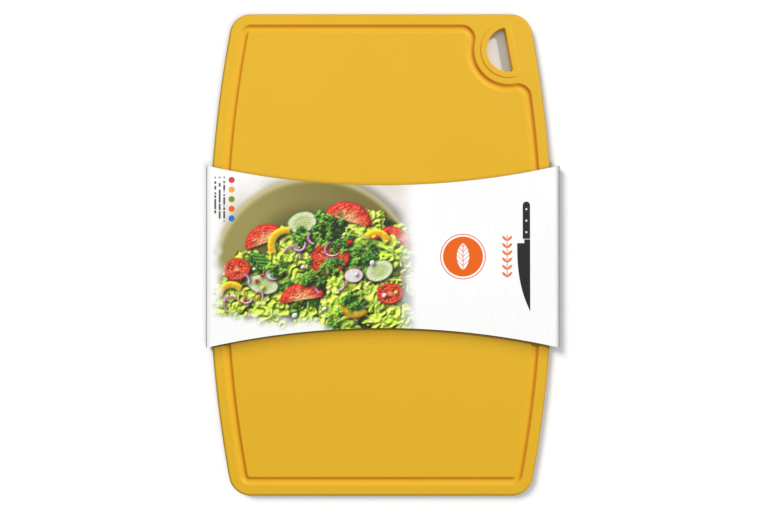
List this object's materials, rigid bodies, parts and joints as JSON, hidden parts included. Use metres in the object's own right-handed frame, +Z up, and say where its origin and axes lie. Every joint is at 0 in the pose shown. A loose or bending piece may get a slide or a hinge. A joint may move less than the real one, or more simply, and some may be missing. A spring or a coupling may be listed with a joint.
{
  "type": "flexible cutting mat",
  "caption": "Flexible silicone cutting mat with a juice groove and a corner hang hole, wrapped round its middle in a folded card sleeve that slides off.",
  "frame": {"origin": "centre of the mat seen from above, in the plane that the card sleeve rests on", "axes": "+Z up out of the grooved face, +Y along the mat's length towards the end with the hang hole, +X towards the side with the hang hole"},
  "size_m": [0.2348, 0.32, 0.008],
  "materials": {
    "silicone": "satin",
    "white_card": "satin",
    "dried_glue": "matte"
  },
  "bodies": {
    "mat": {"mat": "silicone"},
    "sleeve": {"sleeve_card": "white_card", "glue_strip": "dried_glue"}
  },
  "joints": [
    {"name": "sleeve_slide", "type": "slide", "parent": "mat", "child": "sleeve", "axis": [0, 1, 0], "range_m": [-0.23, 0.23]}
  ]
}
